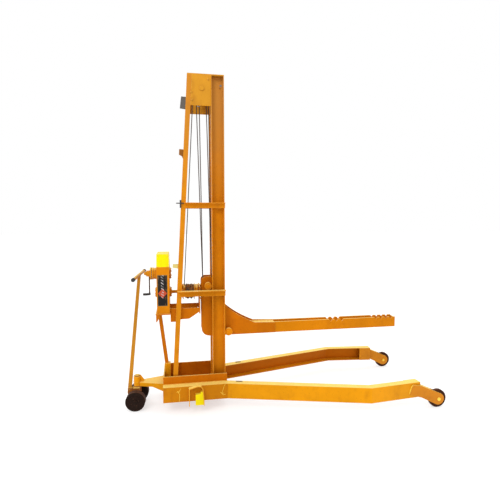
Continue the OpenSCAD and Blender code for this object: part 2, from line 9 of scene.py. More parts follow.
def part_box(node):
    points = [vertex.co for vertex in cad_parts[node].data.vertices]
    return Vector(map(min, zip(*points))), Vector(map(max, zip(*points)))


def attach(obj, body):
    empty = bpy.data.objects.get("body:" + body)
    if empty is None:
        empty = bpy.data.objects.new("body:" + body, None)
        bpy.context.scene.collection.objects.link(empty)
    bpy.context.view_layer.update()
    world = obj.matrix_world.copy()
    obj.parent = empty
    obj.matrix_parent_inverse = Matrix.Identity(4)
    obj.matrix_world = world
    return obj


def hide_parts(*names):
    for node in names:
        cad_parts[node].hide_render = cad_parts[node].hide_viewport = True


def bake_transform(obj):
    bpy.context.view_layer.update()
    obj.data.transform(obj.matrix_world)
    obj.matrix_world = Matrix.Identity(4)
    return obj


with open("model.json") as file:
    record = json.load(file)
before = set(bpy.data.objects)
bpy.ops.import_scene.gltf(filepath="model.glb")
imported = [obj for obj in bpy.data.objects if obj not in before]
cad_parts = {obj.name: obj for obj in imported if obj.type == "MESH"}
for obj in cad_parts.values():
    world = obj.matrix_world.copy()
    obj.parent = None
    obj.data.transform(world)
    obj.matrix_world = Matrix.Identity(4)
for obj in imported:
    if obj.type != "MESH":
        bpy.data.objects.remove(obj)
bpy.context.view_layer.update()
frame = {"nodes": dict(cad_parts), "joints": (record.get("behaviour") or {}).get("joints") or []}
nodes = frame["nodes"]

# ---------------------------------------------------------------- camera, floor and light

CAMERA_AT = (-1.0243, -4.0230, 1.8964)
CAMERA_TURN = math.radians(-9.97)
CAMERA_DIP = math.radians(4.78)
LENS = 28.66


def make_camera():
    data = bpy.data.cameras.new("camera")
    data.lens = LENS
    data.sensor_width = 36
    data.clip_end = 100
    camera = bpy.data.objects.new("camera", data)
    camera.location = CAMERA_AT
    camera.rotation_euler = (math.pi / 2 - CAMERA_DIP, 0, CAMERA_TURN)
    bpy.context.scene.collection.objects.link(camera)
    bpy.context.scene.camera = camera


def area_light(name, place, target, size, power, tint=(1, 1, 1)):
    data = bpy.data.lights.new(name, "AREA")
    data.shape = "DISK"
    data.size = size
    data.energy = power
    data.color = tint
    light = bpy.data.objects.new(name, data)
    light.location = place
    light.rotation_mode = "QUATERNION"
    light.rotation_quaternion = (Vector(target) - Vector(place)).to_track_quat("-Z", "Y")
    bpy.context.scene.collection.objects.link(light)


def make_light():
    scene = bpy.context.scene
    scene.view_settings.view_transform = "Standard"
    world = bpy.data.worlds.new("studio")
    scene.world = world
    world.use_nodes = True
    background = world.node_tree.nodes["Background"]
    background.inputs["Color"].default_value = (1, 1, 1, 1)
    background.inputs["Strength"].default_value = 1.0
    area_light("key", (-4.5, -5.5, 6.5), (0, 0, 1.2), 3.0, 210)
    area_light("fill", (5.5, -4.0, 3.5), (0.2, 0, 1.0), 4.0, 20)
    area_light("top", (0.5, 2.5, 7.0), (0, 0, 1.0), 3.5, 70)


class Signal:
    """A shader socket that plain arithmetic works on."""

    def __init__(self, finish, socket):
        self.finish, self.socket = finish, socket

    def math(self, operation, *values):
        inputs = dict(enumerate(values))
        return self.finish.node("ShaderNodeMath", {"operation": operation}, inputs)

    def __add__(self, other):
        return self.math("ADD", self, other)

    def __sub__(self, other):
        return self.math("SUBTRACT", self, other)

    def __rsub__(self, other):
        return self.math("SUBTRACT", other, self)

    def __mul__(self, other):
        return self.math("MULTIPLY", self, other)

    def __truediv__(self, other):
        return self.math("DIVIDE", self, other)

    def __pow__(self, other):
        return self.math("POWER", self, other)

    __radd__ = __add__
    __rmul__ = __mul__

    def wave(self):
        return self.math("SINE", self)

    def size(self):
        return self.math("ABSOLUTE", self)

    def step(self, low, high):
        """0 below low, 1 above high and smooth between; falls instead when low is above high."""
        settings = {"interpolation_type": "SMOOTHSTEP"}
        return self.finish.node(
            "ShaderNodeMapRange", settings, {"Value": self, "From Min": low, "From Max": high}
        )


class Finish:
    """A material under construction."""

    def __init__(self, name, **constants):
        self.material = bpy.data.materials.new(name)
        self.material.use_nodes = True
        self.tree = self.material.node_tree
        self.tree.nodes.clear()
        output = self.tree.nodes.new("ShaderNodeOutputMaterial")
        self.shader = self.tree.nodes.new("ShaderNodeBsdfPrincipled")
        self.tree.links.new(self.shader.outputs[0], output.inputs[0])
        for socket, value in constants.items():
            self.shader.inputs[socket.replace("_", " ")].default_value = value

    def node(self, kind, settings, inputs, output=0):
        made = self.tree.nodes.new(kind)
        for name, value in settings.items():
            setattr(made, name, value)
        for name, value in inputs.items():
            self.feed(made.inputs[name], value)
        return Signal(self, made.outputs[output])

    def feed(self, socket, value):
        if isinstance(value, Signal):
            self.tree.links.new(value.socket, socket)
        else:
            socket.default_value = value

    def set(self, **sockets):
        for name, value in sockets.items():
            self.feed(self.shader.inputs[name.replace("_", " ")], value)
        return self

    def place(self, stretch=(1, 1, 1)):
        """The piece's own coordinates in metres, stretched."""
        spot = self.node("ShaderNodeTexCoord", {}, {}, "Object")
        return self.node("ShaderNodeMapping", {}, {"Vector": spot, "Scale": stretch})

    def axes(self):
        spot = self.node("ShaderNodeTexCoord", {}, {}, "Object")
        return [self.node("ShaderNodeSeparateXYZ", {}, {0: spot}, i) for i in range(3)]

    def normal_axes(self):
        facing = self.node("ShaderNodeNewGeometry", {}, {}, "Normal")
        return [self.node("ShaderNodeSeparateXYZ", {}, {0: facing}, i) for i in range(3)]

    def noise(self, scale, detail=3.0, stretch=(1, 1, 1), rough=0.55):
        inputs = {"Vector": self.place(stretch), "Scale": scale, "Detail": detail}
        inputs["Roughness"] = rough
        return self.node("ShaderNodeTexNoise", {}, inputs, "Fac")

    def specks(self, scale, stretch=(1, 1, 1)):
        inputs = {"Vector": self.place(stretch), "Scale": scale}
        return self.node("ShaderNodeTexVoronoi", {}, inputs, "Distance")

    def colour(self, amount, first, second):
        """first where amount is 0, second where it is 1."""
        made = self.tree.nodes.new("ShaderNodeMix")
        made.data_type = "RGBA"
        self.feed(made.inputs[0], amount)
        self.feed(made.inputs[6], rgba(first))
        self.feed(made.inputs[7], rgba(second))
        return Signal(self, made.outputs[2])

    def round_edges(self, radius):
        return self.node("ShaderNodeBevel", {"samples": 6}, {"Radius": radius}, "Normal")

    def edges(self, radius):
        """Near 0 on a flat, rising on a sharp edge or corner."""
        soft = self.round_edges(radius)
        facing = self.node("ShaderNodeNewGeometry", {}, {}, "Normal")
        settings = {"operation": "DOT_PRODUCT"}
        return 1 - self.node("ShaderNodeVectorMath", settings, {0: soft, 1: facing}, "Value")

    def bump(self, height, distance, strength=1.0, base=None):
        inputs = {"Height": height, "Distance": distance, "Strength": strength}
        if base is not None:
            inputs["Normal"] = base
        return self.node("ShaderNodeBump", {}, inputs)


def rgba(value):
    return value if isinstance(value, Signal) else (*value, 1)


# ---------------------------------------------------------------- finishes

CRANK_Z = 1336
CRANK_HIGH = CRANK_Z / 1000
CRANK_THROW = 208


def tone(colour, factor):
    return tuple(min(1.0, c * factor) for c in colour)


AMBER = (0.70, 0.275, 0.004)
PRIMER = (0.13, 0.045, 0.012)
# painted highlight colour for faces turned up
TOP_HIGHLIGHT = (1.0, 0.80, 0.20)
# painted highlight colour for sharp edges
EDGE_HIGHLIGHT = (0.98, 0.56, 0.13)
SMOKY = (0.50, 0.22, 0.045)
SHEEN = (1.0, 0.50, 0.06, 1)


def enamel(name, colour, wear=0.5, dirt=0.35, gloss=0.34, top_light=0.62, inner=0.0, smoky=0.0):
    """Brushed-on machine enamel: patchy coats, edges paler with a painted highlight, chips, a painted
    highlight on top faces, painted shade underneath, runs.

    cream sets the painted highlight on faces turned up, inner is painted shade that darkens faces turned
    to the middle plane and keeps that highlight off the channels' low flanges, and smoky browns the
    paint high on the mast.
    """
    f = Finish(name, Specular_IOR_Level=0.42, Specular_Tint=SHEEN)
    patch = f.noise(1.7, 4, rough=0.6)
    cloud = f.noise(11, 5, rough=0.62)
    grain = f.noise(90, 4)
    peel = f.noise(420, 2)
    runs = f.noise(26, 3, stretch=(1, 1, 0.12))
    _, facing_left, facing_up = f.normal_axes()
    dark = (cloud * 0.65 + runs * 0.35).step(0.46, 0.74) * dirt
    pale = patch.step(0.35, 0.72)
    edge = (f.edges(0.0035) * (0.35 + grain)).step(0.035, 0.20)
    speck = f.specks(46) + cloud * 0.35
    chip = speck.step(0.285, 0.235) * wear
    chip_rim = speck.step(0.33, 0.26) * wear
    # painted highlight: faces turned up are paler, as if lit from above
    top_highlight_mask = facing_up.step(0.5, 0.95) * (0.55 + 0.6 * cloud)
    # painted shade: faces turned down are darkened
    under = facing_up.step(-0.4, -0.9)
    base = f.colour(pale, tone(colour, 0.88), tone(colour, 1.10))
    base = f.colour(dark, base, (colour[0] * 0.48, colour[1] * 0.34, colour[2] * 0.6 + 0.002))
    base = f.colour(under * 0.45, base, tone(colour, 0.45))
    if inner:
        _, y, _ = f.axes()
        # painted shade: faces turned towards the middle plane are darkened
        inward_shade = (y * facing_left).step(-0.02, -0.10)
        base = f.colour(inward_shade * inner, base, (colour[0] * 0.62, colour[1] * 0.34, colour[2] * 0.3))
    if smoky:
        _, _, z = f.axes()
        base = f.colour((z + 0.5 * cloud).step(2.1, 3.3) * smoky, base, SMOKY)
    # painted highlight: sharp edges are paler, as if catching the light
    base = f.colour(edge * 0.6, base, EDGE_HIGHLIGHT)
    if inner:
        top_highlight_mask = top_highlight_mask * f.axes()[2].step(0.18, 0.24)
    # painted highlight laid on the top faces
    base = f.colour(top_highlight_mask * top_light, base, TOP_HIGHLIGHT)
    base = f.colour(chip_rim * 0.35, base, tone(colour, 0.45))
    base = f.colour(chip, base, PRIMER)
    rough = gloss + grain * 0.12 + dark * 0.35 + chip * 0.3 + top_highlight_mask * 0.12
    height = cloud * 0.5 + peel * 0.12 - chip * 0.5 + runs * 0.2
    normal = f.bump(height, 0.0009, 0.55, f.round_edges(0.0022))
    return f.set(Base_Color=base, Roughness=rough, Normal=normal).material


def bare_steel(name, colour, gloss=0.32, rust=0.25, metal=0.9):
    """Turned or rolled steel with an oily brown bloom."""
    f = Finish(name)
    turning = f.noise(160, 2, stretch=(0.15, 1, 1))
    bloom = f.noise(34, 5, rough=0.65).step(0.50, 0.72) * rust
    edge = (f.edges(0.0015) * (0.4 + f.noise(130))).step(0.03, 0.2)
    base = f.colour(turning, tone(colour, 0.75), tone(colour, 1.15))
    base = f.colour(bloom, base, (0.17, 0.065, 0.022))
    base = f.colour(edge * 0.6, base, tone(colour, 1.7))
    rough = gloss + turning * 0.15 + bloom * 0.5
    normal = f.bump(turning + bloom, 0.0004, 0.4, f.round_edges(0.0012))
    return f.set(Base_Color=base, Roughness=rough, Metallic=metal - bloom, Normal=normal).material


def tyre_rubber(name, brown=0.0):
    """Solid tread: near-black faces, a dusty brown rolling band with scuffs."""
    f = Finish(name, Specular_IOR_Level=0.16, Specular_Tint=(1.0, 0.75, 0.6, 1))
    facing = f.normal_axes()[1].size()
    band = facing.step(0.55, 0.2)
    grit = f.noise(230, 4)
    scuff = f.noise(48, 5, rough=0.66).step(0.42, 0.7)
    base = f.colour(grit * 0.5, (0.006, 0.0025, 0.002), (0.016, 0.007, 0.005))
    base = f.colour(band * (0.30 + 0.5 * scuff), base, (0.13, 0.060, 0.036))
    base = f.colour((1 - band) * scuff * 0.3, base, (0.035, 0.016, 0.010))
    if brown:
        base = f.colour(brown * (0.4 + 0.6 * scuff), base, (0.10, 0.026, 0.008))
    edge = (f.edges(0.003) * (0.4 + grit)).step(0.04, 0.25)
    base = f.colour(edge * 0.4, base, (0.13, 0.06, 0.035))
    rough = 0.52 + grit * 0.2 + scuff * 0.12
    normal = f.bump(grit * 0.6 + scuff, 0.0012, 0.6, f.round_edges(0.003))
    return f.set(Base_Color=base, Roughness=rough, Normal=normal).material


def plain_black(name, colour, gloss=0.4):
    f = Finish(name)
    grain = f.noise(260, 4)
    rub = f.noise(30, 4).step(0.5, 0.75)
    edge = (f.edges(0.0015) * (0.4 + grain)).step(0.03, 0.22)
    base = f.colour(grain, tone(colour, 0.7), tone(colour, 1.5))
    base = f.colour(edge * 0.6 + rub * 0.2, base, (0.16, 0.13, 0.11))
    rough = gloss + grain * 0.2 + rub * 0.1
    normal = f.bump(grain, 0.0005, 0.5, f.round_edges(0.0012))
    return f.set(Base_Color=base, Roughness=rough, Normal=normal).material


def crank_iron(name):
    """Dark arm, gear-coloured hub."""
    f = Finish(name, Specular_Tint=SHEEN)
    _, y, z = f.axes()
    hub = ((y * y + (z - CRANK_HIGH) * (z - CRANK_HIGH)) ** 0.5).step(0.036, 0.033)
    grain = f.noise(160, 4)
    edge = (f.edges(0.0015) * (0.4 + grain)).step(0.03, 0.22)
    base = f.colour(grain, (0.020, 0.011, 0.007), (0.048, 0.027, 0.017))
    base = f.colour(hub, base, (0.60, 0.22, 0.006))
    base = f.colour(edge * 0.5, base, (0.45, 0.20, 0.05))
    rough = 0.42 + grain * 0.2
    normal = f.bump(grain, 0.0005, 0.5, f.round_edges(0.0012))
    return f.set(Base_Color=base, Roughness=rough, Normal=normal).material


def label_film(name):
    """Black film with a ladder of slanted grey strokes, brown ends and a red lozenge."""
    f = Finish(name, Specular_IOR_Level=0.2)
    low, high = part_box("casing_label")
    x, _, z = f.axes()
    across = (x - (low.x + high.x) / 2) / (high.x - low.x)
    up = (z - low.z) / (high.z - low.z)
    wobble = f.noise(30, 3) * 0.10
    slant = ((up * 22 + across * 5 + wobble * 8) * math.pi).wave()
    column = (across + wobble - 0.05).size()
    strokes = slant.step(0.05, 0.5) * column.step(0.17, 0.10) * up.step(0.22, 0.34)
    broken = f.noise(95, 2, stretch=(1, 1, 0.6)).step(0.40, 0.52)
    lozenge = ((up - 0.41).size() * 2.6 + across.size() * 0.9).step(0.44, 0.38)
    strip = f.noise(60, 4, stretch=(2.4, 1, 0.4)).step(0.52, 0.66) * column.step(0.2, 0.30)
    base = f.colour(strip * 0.6, (0.006, 0.004, 0.003), (0.26, 0.13, 0.035))
    base = f.colour(lozenge * 0.85, base, (0.52, 0.06, 0.015))
    base = f.colour(strokes * broken * 0.8, base, (0.56, 0.52, 0.50))
    border = (across.size().step(0.455, 0.475) + (up - 0.5).size().step(0.482, 0.49)).step(0.2, 0.8)
    base = f.colour(border * 0.7, base, (0.30, 0.20, 0.08))
    rough = 0.24 + f.noise(70, 3) * 0.2
    normal = f.bump(f.noise(25, 3), 0.0006, 0.4)
    return f.set(Base_Color=base, Roughness=rough, Normal=normal).material


def lug_paint(name):
    """The low lug pale and dusty, the high one brown."""
    f = Finish(name, Specular_Tint=SHEEN)
    _, _, z = f.axes()
    grain = f.noise(60, 4)
    low = f.colour(grain, (0.50, 0.42, 0.13), (0.72, 0.60, 0.22))
    high = f.colour(grain, (0.16, 0.055, 0.012), (0.30, 0.11, 0.02))
    base = f.colour(z.step(1.7, 1.9), low, high)
    base = f.colour((f.edges(0.002) * (0.4 + grain)).step(0.03, 0.2) * 0.5, base, (0.8, 0.5, 0.16))
    normal = f.bump(grain, 0.0006, 0.5, f.round_edges(0.0015))
    return f.set(Base_Color=base, Roughness=0.45 + grain * 0.2, Normal=normal).material


def rope_steel(name, rust=0.0):
    """Greased strands, dark in the lay."""
    f = Finish(name, Specular_IOR_Level=0.3)
    fleck = f.noise(700, 3)
    grease = f.noise(22, 4).step(0.4, 0.7)
    base = f.colour(fleck, (0.035, 0.026, 0.020), (0.14, 0.105, 0.080))
    base = f.colour(grease * 0.6, base, (0.030, 0.018, 0.011))
    if rust:
        patches = f.noise(55, 4).step(0.38, 0.62)
        base = f.colour(patches * rust, base, (0.36, 0.125, 0.012))
    rough = 0.38 + fleck * 0.25
    normal = f.bump(fleck, 0.0003, 0.5)
    return f.set(Base_Color=base, Roughness=rough, Metallic=0.55 - grease * 0.4, Normal=normal).material


finishes = {
    "amber": enamel("amber_enamel", AMBER),
    # the legs carry painted shade on faces turned inwards
    "legs": enamel("leg_enamel", AMBER, top_light=0.9, inner=0.9),
    "fork": enamel("fork_enamel", (0.58, 0.20, 0.012), wear=0.6, dirt=0.5, top_light=0.9),
    "bead": enamel("bead_enamel", (0.93, 0.62, 0.07), wear=0.1, dirt=0.2, top_light=0.5),
    "bracket": enamel("bracket_enamel", (0.80, 0.36, 0.02), wear=0.5, dirt=0.3, top_light=0.8),
    # a darker copy of the amber: partly a deeper paint tone, partly painted shade for the recessed
    # cheeks and sills
    "deep_and_shaded": enamel("deep_shaded_amber_enamel", (0.51, 0.130, 0.0015), wear=0.45),
    "arm": enamel("arm_enamel", (0.62, 0.195, 0.002), wear=0.45),
    "mast": enamel("mast_enamel", (0.60, 0.190, 0.003), wear=0.5, dirt=0.35, top_light=0.6, smoky=0.8),
    "upright": enamel("upright_enamel", (0.58, 0.200, 0.006), wear=0.5, dirt=0.4, smoky=0.4),
    "side": enamel("side_enamel", (0.52, 0.175, 0.003), wear=0.5, dirt=0.4, top_light=0.9),
    "head": enamel("head_enamel", (0.60, 0.265, 0.022), wear=0.35, gloss=0.42, top_light=0.3),
    "worn": enamel("worn_enamel", (0.47, 0.195, 0.016), wear=0.95, dirt=0.6, gloss=0.42, top_light=0.4),
    "shade": enamel("inner_enamel", (0.38, 0.085, 0.003), wear=0.6, dirt=0.6, gloss=0.45),
    "lemon": enamel("lemon_enamel", (0.86, 0.70, 0.004), wear=0.22, dirt=0.22, gloss=0.26, top_light=0.3),
    "gold": enamel("gear_enamel", (0.62, 0.23, 0.006), wear=0.6, dirt=0.5),
    "rusty": enamel("rusty_enamel", (0.30, 0.10, 0.018), wear=1.0, dirt=0.9, gloss=0.55),
    "steel": bare_steel("turned_steel", (0.42, 0.40, 0.37)),
    "iron": bare_steel("greasy_iron", (0.22, 0.20, 0.18), gloss=0.42, rust=0.5, metal=0.75),
    "black": plain_black("black_iron", (0.020, 0.017, 0.015)),
    "crank": crank_iron("crank_iron"),
    "grip": plain_black("grip_black", (0.012, 0.010, 0.010), gloss=0.5),
    "scuff": plain_black("scuff_brown", (0.16, 0.085, 0.02), gloss=0.6),
    "grey": plain_black("lug_grey", (0.075, 0.062, 0.052), gloss=0.5),
    "tyre": tyre_rubber("solid_tyre"),
    "brown_tyre": tyre_rubber("brown_tyre", 0.85),
    "label": label_film("label_film"),
    "rope": rope_steel("rope_steel"),
    "old_rope": rope_steel("old_rope", 0.8),
    "lugs": lug_paint("lug_paint"),
}

wears = {
    "amber": "drawbar strut_post",
    "legs": "leg_near leg_far",
    "fork": "front_fork_near front_fork_far",
    "bead": "front_axles",
    "bracket": "side_bracket",
    "upright": "upright_near upright_far",
    "arm": "arm_near arm_far carriage_ties upper_rollers lower_rollers roller_axles",
    # the darker amber copy; on the cheeks and sills it is partly painted shade
    "deep_and_shaded": "cheek_near cheek_far sill_near sill_far winch_bracket bearing_plate winch_strut",
    "mast": "column_near column_far upper_braces lower_braces winch_casing drum",
    "side": "side_channel_near side_channel_far",
    "head": "mast_head head_axle",
    "worn": "tiller_bar tiller_grip",
    "shade": "base_plates",
    "lemon": "winch_cap side_pad",
    "gold": "brake_discs",
    "rusty": "steer_axle",
    "lugs": "rear_lugs",
    "iron": "head_sheave_small head_sheave_large moving_sheave_near moving_sheave_far",
    "black": "clamp_bolt",
    "crank": "crank",
    "grip": "crank_grip grip_caps",
    "grey": "dark_lug",
    "tyre": "rear_wheel_near rear_wheel_far rear_axle",
    "brown_tyre": "front_wheel_near front_wheel_far",
    "label": "casing_label",
    "rope": "rope_fixed rope_falls rope_bight",
    "old_rope": "rope_winding",
}


def dress(piece, finish):
    piece.data.materials.clear()
    piece.data.materials.append(finishes[finish])


for finish, names in wears.items():
    for name in names.split():
        dress(nodes[name], finish)


# ---------------------------------------------------------------- making pieces

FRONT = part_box("column_near")[1].x


def at(ahead, side, up):
    """A point from millimetres ahead of the mast's front face, to the side and over the floor."""
    return Vector((FRONT + ahead / 1000, side / 1000, up / 1000))


def add_piece(name, verts, faces, body, finish, smooth=True):
    mesh = bpy.data.meshes.new(name)
    mesh.from_pydata([tuple(v) for v in verts], [], faces)
    if smooth:
        mesh.shade_smooth()
    piece = bpy.data.objects.new(name, mesh)
    bpy.context.scene.collection.objects.link(piece)
    dress(piece, finish)
    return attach(piece, body) if body else piece


def across_axis(axis):
    """Two directions square to axis and to each other."""
    spare = Vector((0, 0, 1)) if abs(axis.z) < 0.9 else Vector((0, 1, 0))
    first = axis.cross(spare).normalized()
    return first, axis.cross(first).normalized()


def ring_faces(rings, sides, closed=False):
    faces = []
    for i in range(rings if closed else rings - 1):
        low, high = i * sides, (i + 1) % rings * sides
        for j in range(sides):
            k = (j + 1) % sides
            faces.append((low + j, low + k, high + k, high + j))
    if not closed:
        faces.append(tuple(reversed(range(sides))))
        faces.append(tuple(range((rings - 1) * sides, rings * sides)))
    return faces


def turned(origin, axis, profile, sides=48):
    """Points and faces of a turned shape. The profile is (distance along axis, radius) in mm."""
    axis = Vector(axis).normalized()
    first, second = across_axis(axis)
    verts = []
    for along, radius in profile:
        for j in range(sides):
            a = 2 * math.pi * j / sides
            spoke = first * math.cos(a) + second * math.sin(a)
            verts.append(origin + (axis * along + spoke * radius) / 1000)
    return verts, ring_faces(len(profile), sides)


def sharpen(piece, angle=32):
    """Smooth shading that keeps corners crisp."""
    mesh = piece.data
    mesh.shade_smooth()
    mesh.set_sharp_from_angle(angle=math.radians(angle))
    return piece


def lathe(name, origin, axis, profile, body, finish, sides=48):
    verts, faces = turned(origin, axis, profile, sides)
    return sharpen(add_piece(name, verts, faces, body, finish))


def joined(name, shapes, body, finish):
    """Several (points, faces) shapes as one piece."""
    verts, faces = [], []
    for points, polygons in shapes:
        start = len(verts)
        verts += points
        faces += [tuple(start + i for i in polygon) for polygon in polygons]
    return sharpen(add_piece(name, verts, faces, body, finish))


def hex_bolt(origin, axis, size=19, height=11):
    """A washer and a chamfered hexagon head, standing on origin along axis."""
    washer = turned(origin, axis, [(-1, size * 0.72), (1.6, size * 0.72), (2.2, size * 0.66)], 28)
    half = size / 2 / math.cos(math.pi / 6)
    profile = [(1.6, half), (height - 2, half), (height, half * 0.84), (height + 0.3, half * 0.3)]
    head = turned(origin, axis, profile, 6)
    end = turned(origin, axis, [(height, size * 0.27), (height + 3, size * 0.27),
                                (height + 4, size * 0.2)], 18)
    return [washer, head, end]


def bolts(name, places, axis, body, finish, size=19, height=11):
    shapes = [shape for place in places for shape in hex_bolt(place, axis, size, height)]
    return joined(name, shapes, body, finish)


def circle_places(centre, axis, radius, count, start=0.0):
    first, second = across_axis(Vector(axis).normalized())
    turn = 2 * math.pi / count
    angles = [start + i * turn for i in range(count)]
    return [centre + (first * math.cos(a) + second * math.sin(a)) * radius / 1000 for a in angles]


def even_path(points, step):
    """The same route with points at equal steps, in metres."""
    lengths = [0.0]
    for a, b in zip(points, points[1:]):
        lengths.append(lengths[-1] + (b - a).length)
    count = max(2, round(lengths[-1] / step))
    route, k = [], 0
    for i in range(count + 1):
        want = lengths[-1] * i / count
        while k < len(points) - 2 and lengths[k + 1] < want:
            k += 1
        span = max(lengths[k + 1] - lengths[k], 1e-9)
        route.append(points[k].lerp(points[k + 1], (want - lengths[k]) / span))
    return route


def swept(route, radius_at, sides):
    """A closed tube along route; radius_at(distance, angle) in metres."""
    heading = (route[1] - route[0]).normalized()
    side, _ = across_axis(heading)
    verts, gone = [], 0.0
    for i, point in enumerate(route):
        after = (route[min(i + 1, len(route) - 1)] - route[max(i - 1, 0)]).normalized()
        side = (side - after * side.dot(after)).normalized()
        other = after.cross(side)
        if i:
            gone += (point - route[i - 1]).length
        for j in range(sides):
            a = 2 * math.pi * j / sides
            spoke = side * math.cos(a) + other * math.sin(a)
            verts.append(point + spoke * radius_at(gone, a))
    return verts, ring_faces(len(route), sides)


ROPE_RADIUS = 0.0045
ROPE_LAY = 0.052
STRANDS = 6


def strand_radius(distance, angle):
    turn = angle * STRANDS / 2 + math.pi * STRANDS * distance / ROPE_LAY
    return ROPE_RADIUS * (0.80 + 0.20 * abs(math.cos(turn)) ** 0.8)


def wire_rope(name, points, body, step=0.0035, finish="rope"):
    verts, faces = swept(even_path(points, step), strand_radius, 24)
    return add_piece(name, verts, faces, body, finish)


def weld(name, points, body, finish="amber", width=5.5):
    """A hand-laid bead: ripples, lumps and a wandering line, half sunk in the corner."""
    route = even_path(points, 0.0022)
    route = [p + Vector((1, 1, 1)) * 0.0006 * noise.noise(p * 60) for p in route]

    def lump(distance, angle):
        ripple = 0.10 * math.sin(distance * 1500 + 1.2 * math.cos(angle))
        return width / 1000 * (0.82 + ripple + 0.30 * noise.noise(Vector((distance * 90, 3.1, 0))))

    verts, faces = swept(route, lump, 10)
    return add_piece(name, verts, faces, body, finish)


def arc_points(centre, radius, start, end, count=28):
    """Points round centre in the plane of X and Z; angles in degrees from +X towards +Z."""
    spots = []
    for i in range(count + 1):
        a = math.radians(start + (end - start) * i / count)
        spots.append(centre + Vector((math.cos(a), 0, math.sin(a))) * radius / 1000)
    return spots


# ---------------------------------------------------------------- wire rope

AXLE_HIGH = 3095
AXLE_CARRIAGE = 1215
HEAD_X, CARRIAGE_X = -210, -163
NEAR_Y, FAR_Y, EYE_Y = -16, 16, -40
SMALL, LARGE, MOVING = 48, 75, 45
EYE_R = 19.8
DRUM_Z, DRUM_PITCH = 1148, 63.66


def make_ropes():
    small = at(HEAD_X, NEAR_Y, AXLE_HIGH)
    large = at(HEAD_X, FAR_Y, AXLE_HIGH)
    near = at(CARRIAGE_X, NEAR_Y, AXLE_CARRIAGE)
    far = at(CARRIAGE_X, FAR_Y, AXLE_CARRIAGE)
    falls = [
        (at(HEAD_X - EYE_R, EYE_Y, AXLE_HIGH), near + Vector((-MOVING / 1000, 0, 0))),
        (small + Vector((SMALL / 1000, 0, 0)), near + Vector((MOVING / 1000, 0, 0))),
        (small - Vector((SMALL / 1000, 0, 0)), far - Vector((MOVING / 1000, 0, 0))),
        (large + Vector((LARGE / 1000, 0, 0)), far + Vector((MOVING / 1000, 0, 0))),
    ]
    shapes = [swept(even_path(list(ends), 0.0035), strand_radius, 24) for ends in falls]
    piece = joined("rope_strands_falls", shapes, None, "rope")
    piece.data.shade_smooth()
    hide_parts("rope_falls")
    top, bottom = at(HEAD_X, 0, AXLE_HIGH), at(HEAD_X, 0, AXLE_CARRIAGE)
    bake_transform(piece)

    over = arc_points(small, SMALL, 0, 180)
    lead_top = arc_points(large, LARGE, 0, 180)
    lead = lead_top + [at(-396, DRUM_PITCH, DRUM_Z)]
    eye = arc_points(at(HEAD_X, EYE_Y, AXLE_HIGH), EYE_R, 180, -178, 40)
    tail = [at(HEAD_X - 16, EYE_Y - 2, AXLE_HIGH - 26), at(HEAD_X - 19, EYE_Y + 7, AXLE_HIGH - 60),
            at(HEAD_X - 19, EYE_Y + 9.5, AXLE_HIGH - 150)]
    for name, route in (("small", over), ("lead", lead), ("eye", eye + tail)):
        piece = wire_rope("rope_strands_" + name, route, "frame")
        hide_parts("rope_fixed")
    for name, centre in (("near", near), ("far", far)):
        piece = wire_rope("rope_bight_" + name, arc_points(centre, MOVING, 180, 360), "carriage")
        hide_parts("rope_bight")

    turns, pitch = 9, 9.4
    coil = []
    for i in range(turns * 48 + 1):
        a = 2 * math.pi * i / 48
        ahead = -300.6 - pitch * i / 48
        coil.append(at(ahead, DRUM_PITCH * math.cos(a), DRUM_Z + DRUM_PITCH * math.sin(a)))
    piece = wire_rope("rope_strands_drum", coil, "drum", step=0.005, finish="old_rope")
    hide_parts("rope_winding")

    coil = []
    for i in range(6 * 36 + 1):
        a = 2 * math.pi * i / 36
        drift = 14 * noise.noise(Vector((i * 0.045, 7.7, 0)))
        ahead = -312 - 58 * abs(math.sin(i * 0.0146)) + drift
        radius = DRUM_PITCH + 8.2 + 2.2 * noise.noise(Vector((i * 0.06, 2.2, 0)))
        coil.append(at(ahead, radius * math.cos(a), DRUM_Z + radius * math.sin(a)))
    wire_rope("rope_strands_crossed", coil, "drum", step=0.005, finish="old_rope")

    clips = []
    for drop in (62, 96, 130):
        centre = at(HEAD_X - 20.0, EYE_Y + 4.5, AXLE_HIGH - drop)
        saddle = turned(centre, (0, 0, 1), [(-5, 3), (-5, 8.5), (-3, 10), (3, 10), (5, 8.5), (5, 3)], 20)
        clips.append(saddle)
        for side in (-7, 7):
            clips += hex_bolt(centre + Vector((-0.009, side / 1000, 0)), (-1, 0, 0), 8, 6)
    joined("rope_clips", clips, "frame", "steel")


# ---------------------------------------------------------------- fittings


